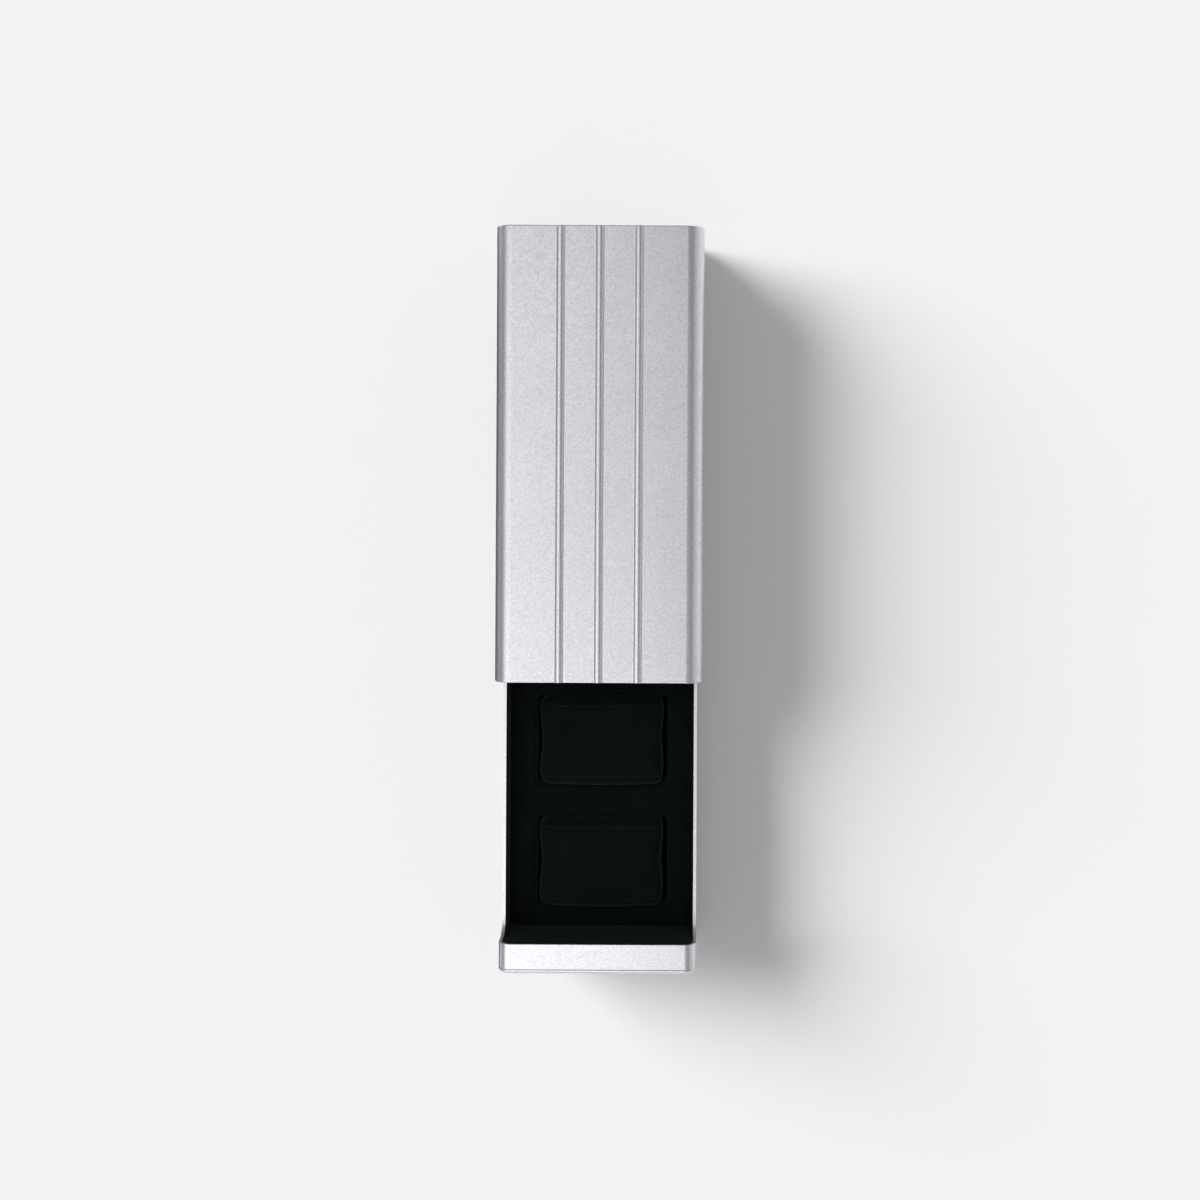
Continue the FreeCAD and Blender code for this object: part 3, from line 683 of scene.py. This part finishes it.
def cushion_outline(half, low, high, top_round, base_round, crown):
    """A cushion's cross-section: level base, upright sides, round shoulders and a crowned top."""
    shoulder = high - crown
    top = half - top_round
    base = half - base_round
    side_low, side_high = low + base_round, shoulder - top_round
    crown_radius = (top * top + crown * crown) / (2 * crown)
    tilt = math.degrees(math.asin(top / crown_radius))
    points = line_points((-base, low), (base, low), BASE_STEPS)
    points += arc_points((base, side_low), base_round, -90, 0, BASE_ROUND_STEPS)
    points += line_points((half, side_low), (half, side_high), SIDE_STEPS)
    points += arc_points((top, side_high), top_round, 0, 90, TOP_ROUND_STEPS)
    points += arc_points((0, high - crown_radius), crown_radius, 90 - tilt, 90 + tilt, CROWN_STEPS)
    points += arc_points((-top, side_high), top_round, 90, 180, TOP_ROUND_STEPS)
    points += line_points((-half, side_high), (-half, side_low), SIDE_STEPS)
    points += arc_points((-base, side_low), base_round, 180, 270, BASE_ROUND_STEPS)
    return points


def cushion_rows(sewing, reach):
    """Where the rows of points lie along a cushion's half length, with how far each is drawn in."""
    seam = reach - sewing.end_panel
    rows = [(seam * index / STRIP_ROWS, 0.0) for index in range(STRIP_ROWS + 1)]
    for share in END_ROW_SHARES:
        inset = sewing.end_round * (1 - math.sqrt(1 - share * share))
        rows.append((seam + sewing.end_panel * share, inset))
    return rows, seam


def cushion_blank(name, node, sewing):
    """A cushion's cover before it is filled: a strip round the form and a panel at each end."""
    low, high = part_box(node)
    middle = (low.y + high.y) / 2
    reach = (high.y - low.y) / 2 - END_SWELL_SHARE * sewing.swell
    half = (high.x - low.x) / 2 - SIDE_SWELL_SHARE * sewing.swell
    top = high.z - sewing.swell
    rows, seam = cushion_rows(sewing, reach)
    rows = [(-y, inset) for y, inset in reversed(rows[1:])] + rows
    form = bmesh.new()
    seam_layer = form.verts.layers.float.new("seam")
    rings = []
    for y, inset in rows:
        waist = 0.0
        if abs(y) < seam:
            waist = sewing.waist * max(0.0, math.cos(math.pi * y / (2 * seam))) ** 2
        outline = cushion_outline(
            half - inset - waist,
            low.z + inset,
            top - inset,
            sewing.top_round - ROUND_DRAW_IN * inset,
            sewing.base_round - ROUND_DRAW_IN * inset,
            sewing.crown,
        )
        ring = [form.verts.new((x, middle + y, z)) for x, z in outline]
        for point in ring:
            point[seam_layer] = 1.0 if abs(abs(y) - seam) < SEAM_MATCH else 0.0
        rings.append(ring)
    for first, second in zip(rings, rings[1:]):
        join_rings(form, first, second)
    for ring in (rings[0], rings[-1]):
        close_end(form, ring, seam_layer)
    bmesh.ops.recalc_face_normals(form, faces=form.faces)
    mesh = bpy.data.meshes.new(name)
    form.to_mesh(mesh)
    form.free()
    return new_object(name, mesh)


def join_rings(form, first, second):
    """Faces between two rings of points."""
    count = len(first)
    for index in range(count):
        after = (index + 1) % count
        form.faces.new((first[index], first[after], second[after], second[index]))


def close_end(form, ring, seam_layer):
    """Close an end panel with shrinking rings and a middle point."""
    centre = sum((point.co for point in ring), Vector()) / len(ring)
    last = ring
    for share in END_RING_SHARES:
        inner = [form.verts.new(centre.lerp(point.co, share)) for point in ring]
        join_rings(form, last, inner)
        last = inner
    hub = form.verts.new(centre)
    hub[seam_layer] = 0.0
    for index in range(len(last)):
        form.faces.new((last[index], last[(index + 1) % len(last)], hub))


def fill_cushion(piece, sewing):
    """Fill a cover by simulating its cloth under pressure, held at its seams."""
    start = [point.co.copy() for point in piece.data.vertices]
    seams = [value.value > 0.5 for value in piece.data.attributes["seam"].data]
    held = piece.vertex_groups.new(name="seams")
    held.add([index for index, sewn in enumerate(seams) if sewn], 1.0, "REPLACE")
    cloth = piece.modifiers.new("filling", "CLOTH")
    cloth.settings.vertex_group_mass = held.name
    for key, value in CLOTH_SETTINGS.items():
        setattr(cloth.settings, key, value)
    cloth.settings.effector_weights.gravity = 0
    cloth.collision_settings.use_collision = False
    scene = bpy.context.scene
    for frame_number in range(1, CLOTH_FRAMES + 1):
        scene.frame_set(frame_number)
    plain_mesh(piece)
    scene.frame_set(1)
    piece.vertex_groups.clear()
    for point, before in zip(piece.data.vertices, start):
        move = point.co - before
        if move.length > sewing.swell:
            move *= sewing.swell / move.length
        point.co = before + move
    piece.data.update()


def well_limit(height, panel_top, roll, well_half, gap):
    """How far from its middle a cushion may reach at a height: its well below, the rolled edge above."""
    drop = panel_top - height
    if drop >= roll:
        return well_half - gap
    across = max(0.0, min(roll, roll - drop))
    return well_half - gap + roll - math.sqrt(max(0.0, roll * roll - across * across))


def sew_cushion(piece, node, sewing):
    """Draw the seams in, pucker the cloth beside them and fit the cushion to its well."""
    low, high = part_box(node)
    middle = (low.y + high.y) / 2
    seam = (high.y - low.y) / 2 - END_SWELL_SHARE * sewing.swell - sewing.end_panel
    centre = (low.z + high.z) / 2
    panel_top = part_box("well_panel")[1].z
    liner_low, liner_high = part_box(LINER_NODES[0])
    well_half = (liner_high.y - liner_low.y) / 2 - LINER_WALL
    for point, way in zip(piece.data.vertices, outward(piece)):
        away = abs(abs(point.co.y - middle) - seam)
        around = math.atan2(point.co.z - centre, point.co.x)
        crease = math.exp(-((away / sewing.seam_width) ** 2))
        spot = (around * PUCKER_TURNS, point.co.y / PUCKER_LENGTH, PUCKER_SEED + middle * PUCKER_SHIFT)
        pucker = PUCKER_DEPTH * noise.noise(spot) * math.exp(-away / PUCKER_REACH)
        point.co += way * (pucker - sewing.seam_depth * crease)
    for point in piece.data.vertices:
        limit = well_limit(point.co.z, panel_top, PANEL_ROLL, well_half, CUSHION_CLEARANCE)
        reach = point.co.y - middle
        point.co.y = middle + max(-limit, min(limit, reach))
        point.co.z = max(low.z, min(high.z, point.co.z))
    piece.data.update()


def finer(piece, levels):
    """Subdivide a piece."""
    modifier = piece.modifiers.new("finer", "SUBSURF")
    modifier.levels = levels
    modifier.render_levels = levels
    plain_mesh(piece)
    smooth(piece)


def seam_paths(piece, name):
    """A closed path along the bottom of each of a cushion's two creases."""
    sewn = piece.data.attributes["seam"].data
    points = [point.co for point, value in zip(piece.data.vertices, sewn) if value.value > FULLY_SEWN]
    middle = sum(points, Vector()) / len(points)
    places, edges = [], []
    for side in (-1, 1):
        ring = [place for place in points if (place.y - middle.y) * side > 0]
        ring.sort(key=lambda place: math.atan2(place.z - middle.z, place.x - middle.x))
        first = len(places)
        places += [tuple(place) for place in ring]
        edges += [(first + index, first + (index + 1) % len(ring)) for index in range(len(ring))]
    mesh = bpy.data.meshes.new(name)
    mesh.from_pydata(places, edges, [])
    return new_object(name, mesh)


def stitch_tree():
    """Stitches along a path: one short swelling of thread after another."""
    tree = bpy.data.node_groups.new("stitches", "GeometryNodeTree")
    tree.interface.new_socket("Path", in_out="INPUT", socket_type="NodeSocketGeometry")
    for name in ("Stitch Length", "Stitch Pitch", "Thread Radius"):
        tree.interface.new_socket(name, in_out="INPUT", socket_type="NodeSocketFloat")
    tree.interface.new_socket("Material", in_out="INPUT", socket_type="NodeSocketMaterial")
    tree.interface.new_socket("Stitches", in_out="OUTPUT", socket_type="NodeSocketGeometry")
    given = add(tree, "NodeGroupInput").outputs
    curve = add(tree, "GeometryNodeMeshToCurve", {"Mesh": given["Path"]}).outputs["Curve"]
    pitch = {"Curve": curve, "Length": given["Stitch Pitch"]}
    spaced = add(tree, "GeometryNodeResampleCurve", pitch, mode="LENGTH")
    tangent = add(tree, "GeometryNodeInputTangent").outputs["Tangent"]
    turn = add(tree, "FunctionNodeAlignRotationToVector", {"Vector": tangent}, axis="Z")
    half = add(tree, "ShaderNodeMath", {0: given["Stitch Length"], 1: 0.5}, operation="MULTIPLY")
    size = add(tree, "ShaderNodeCombineXYZ", {
        "X": given["Thread Radius"], "Y": given["Thread Radius"], "Z": half.outputs["Value"],
    })
    bead = add(tree, "GeometryNodeMeshUVSphere", {
        "Segments": STITCH_SIDES, "Rings": STITCH_RINGS, "Radius": 1.0,
    })
    placed = add(tree, "GeometryNodeInstanceOnPoints", {
        "Points": spaced.outputs["Curve"],
        "Instance": bead.outputs["Mesh"],
        "Rotation": turn.outputs["Rotation"],
        "Scale": size.outputs["Vector"],
    })
    real = add(tree, "GeometryNodeRealizeInstances", {"Geometry": placed.outputs["Instances"]})
    painted = add(tree, "GeometryNodeSetMaterial", {
        "Geometry": real.outputs["Geometry"], "Material": given["Material"],
    })
    add(tree, "NodeGroupOutput", {"Stitches": painted.outputs["Geometry"]})
    return tree


class CASE_OT_cushions(bpy.types.Operator):
    """Cut, fill and sew the three watch cushions"""

    bl_idname = "watch_case.cushions"
    bl_label = "Make Cushions"

    def execute(self, context):
        sewing = context.scene.case_cushion
        suede = brushed_suede("cushion_suede", context.scene.case_suede, sewing.colour)
        thread = smooth_plastic("seam_thread", (0.003, 0.006, 0.0048), 0.7, THREAD_GRAIN, THREAD_DEPTH)
        tree = stitch_tree()
        for well in WELLS:
            node = "cushion_" + well
            body = well + "_cushion"
            cushion = cushion_blank(node + "_cover", node, sewing)
            fill_cushion(cushion, sewing)
            finer(cushion, COVER_LEVELS)
            sew_cushion(cushion, node, sewing)
            seat(cushion, body, "dark_green_suede", suede, node, "cushion_core_" + well)
            seams = seam_paths(cushion, node + "_stitches")
            modifier = seams.modifiers.new("stitches", "NODES")
            modifier.node_group = tree
            set_inputs(modifier, {
                "Stitch Length": sewing.stitch,
                "Stitch Pitch": sewing.stitch_pitch,
                "Thread Radius": sewing.thread,
                "Material": thread,
            })
            plain_mesh(seams)
            smooth(seams)
            paint(seams, thread)
            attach(seams, body)
        return {"FINISHED"}


def soft_light(name, azimuth, elevation, spread_angle, strength):
    """A wide soft light far away, by compass angle from +X and height above the floor."""
    turn, rise = math.radians(azimuth), math.radians(elevation)
    across = math.cos(rise)
    way = Vector((across * math.cos(turn), across * math.sin(turn), math.sin(rise)))
    lamp = bpy.data.lights.new(name, "SUN")
    lamp.angle = math.radians(spread_angle)
    lamp.energy = strength
    holder = bpy.data.objects.new(name, lamp)
    holder.location = way
    holder.rotation_mode = "QUATERNION"
    holder.rotation_quaternion = way.to_track_quat("Z", "Y")
    bpy.context.scene.collection.objects.link(holder)
    return holder


def shine_on(light, name, state):
    """Let a light reach the floor alone, or all but the floor."""
    linked = bpy.data.collections.new(name)
    linked.objects.link(bpy.data.objects["studio_floor"])
    linked.collection_objects[0].light_linking.link_state = state
    light.light_linking.receiver_collection = linked


def mirror_card(name, place, back, width, length, radiance):
    """A glowing card that only reflections see, given by its middle and the way its back faces."""
    lamp = bpy.data.lights.new(name, "AREA")
    lamp.shape = "RECTANGLE"
    lamp.size, lamp.size_y = width, length
    lamp.energy = radiance * math.pi * width * length
    card = bpy.data.objects.new(name, lamp)
    card.location = place
    card.rotation_mode = "QUATERNION"
    card.rotation_quaternion = Vector(back).to_track_quat("Z", "Y")
    card.visible_camera = False
    card.visible_diffuse = False
    bpy.context.scene.collection.objects.link(card)


def level_sheet(name, left, right, front, rear, height):
    """A level rectangle at a height."""
    corners = [(left, front), (right, front), (right, rear), (left, rear)]
    mesh = bpy.data.meshes.new(name)
    mesh.from_pydata([(x, y, height) for x, y in corners], [], [(0, 1, 2, 3)])
    return new_object(name, mesh)


class CASE_OT_studio(bpy.types.Operator):
    """Set the case on a pale floor under soft light, with a camera straight above it"""

    bl_idname = "watch_case.studio"
    bl_label = "Set Studio"

    def execute(self, context):
        studio = context.scene.case_studio
        self.lay_floor(studio)
        self.set_lights(studio)
        self.set_camera(studio)
        context.scene.view_settings.view_transform = "Standard"
        return {"FINISHED"}

    def lay_floor(self, studio):
        """A wide floor level with the base pad's underside."""
        half = 4.0
        floor = level_sheet("studio_floor", -half, half, -half, half, 0)
        paint(floor, studio_paper("studio_paper", studio.floor_colour))
        self.stand_flag()
        self.hang_backdrop(studio, half)

    def hang_backdrop(self, studio, reach):
        """A pale dome behind everything that only the camera sees, so that the floor has no far edge."""
        form = bmesh.new()
        bmesh.ops.create_uvsphere(
            form, u_segments=DOME_SEGMENTS, v_segments=DOME_RINGS, radius=DOME_SHARE * reach
        )
        bmesh.ops.reverse_faces(form, faces=form.faces)
        mesh = bpy.data.meshes.new("studio_backdrop")
        form.to_mesh(mesh)
        form.free()
        backdrop = new_object("studio_backdrop", mesh)
        material, *_unused = new_material(
            "backdrop_paper",
            Base_Color=(0, 0, 0, 1),
            Specular_IOR_Level=0.0,
            Emission_Color=(*studio.floor_colour, 1),
            Emission_Strength=1.0,
        )
        paint(backdrop, material)
        backdrop.visible_diffuse = False
        backdrop.visible_glossy = False
        backdrop.visible_shadow = False
        return backdrop

    def stand_flag(self):
        """A dark strip beside the case that only the metal's reflections see, to draw its left edge."""
        flag = level_sheet("dark_flag", FLAG_LEFT, FLAG_RIGHT, FLAG_FRONT, FLAG_REAR, FLAG_LIFT)
        paint(flag, studio_paper("flag_paper", FLAG_GREY))
        flag.visible_camera = False
        flag.visible_diffuse = False
        flag.visible_shadow = False
        return flag

    def set_lights(self, studio):
        """A low key for the floor, a high softbox for the case, a fill and cards for the metal."""
        key = soft_light("key", *KEY_ANGLES, studio.key_strength)
        softbox = soft_light("softbox", *SOFTBOX_ANGLES, studio.case_strength)
        fill = soft_light("fill", *FILL_ANGLES, studio.fill_strength)
        for light in (key, softbox, fill):
            light.visible_glossy = False
        shine_on(key, "floor_only", "INCLUDE")
        shine_on(softbox, "case_only", "EXCLUDE")
        for name, (place, back, width, length, share) in CARDS.items():
            mirror_card(name, place, back, width, length, share * studio.card_light)
        world = bpy.data.worlds.new("studio")
        world.use_nodes = True
        backdrop = world.node_tree.nodes["Background"]
        backdrop.inputs["Color"].default_value = (1, 1, 1, 1)
        backdrop.inputs["Strength"].default_value = studio.world_light
        bpy.context.scene.world = world

    def set_camera(self, studio):
        """Straight above the case, a little to its right and behind its middle."""
        lens = bpy.data.cameras.new("camera")
        lens.lens = studio.lens
        lens.sensor_width = SENSOR_WIDTH
        lens.shift_x, lens.shift_y = LENS_SHIFT
        lens.clip_start, lens.clip_end = LENS_CLIP
        camera = bpy.data.objects.new("camera", lens)
        camera.location = (CAMERA_X, CAMERA_Y, studio.camera_height)
        camera.rotation_euler = (0, 0, CAMERA_TURN)
        bpy.context.scene.collection.objects.link(camera)
        bpy.context.scene.camera = camera


class CASE_PT_sidebar(bpy.types.Panel):
    """The case's sizes, finishes and steps"""

    bl_label = "Watch Case"
    bl_idname = "CASE_PT_sidebar"
    bl_space_type = "VIEW_3D"
    bl_region_type = "UI"
    bl_category = "Watch Case"

    def draw(self, context):
        for group in GROUPS:
            settings = getattr(context.scene, group)
            box = self.layout.box()
            for name in settings.__annotations__:
                box.prop(settings, name)
        for step in STEPS:
            self.layout.operator(step.bl_idname)


GROUPS = {
    "case_metal": CaseMetal,
    "case_suede": CaseSuede,
    "case_cushion": CaseCushion,
    "case_studio": CaseStudio,
}
STEPS = (
    CASE_OT_metal,
    CASE_OT_fittings,
    CASE_OT_screws,
    CASE_OT_linings,
    CASE_OT_packing,
    CASE_OT_cushions,
    CASE_OT_studio,
)


def register():
    """Register the settings, the operators and the sidebar panel."""
    for name, group in GROUPS.items():
        bpy.utils.register_class(group)
        setattr(bpy.types.Scene, name, PointerProperty(type=group))
    for item in (*STEPS, CASE_PT_sidebar):
        bpy.utils.register_class(item)


def unregister():
    """Undo register."""
    for item in reversed((*STEPS, CASE_PT_sidebar)):
        bpy.utils.unregister_class(item)
    for name, group in GROUPS.items():
        delattr(bpy.types.Scene, name)
        bpy.utils.unregister_class(group)


def main():
    """Dress the case and set the studio."""
    register()
    bpy.ops.watch_case.metal()
    bpy.ops.watch_case.fittings()
    bpy.ops.watch_case.screws()
    bpy.ops.watch_case.linings()
    bpy.ops.watch_case.packing()
    bpy.ops.watch_case.cushions()
    bpy.ops.watch_case.studio()


if __name__ == "__main__":
    main()
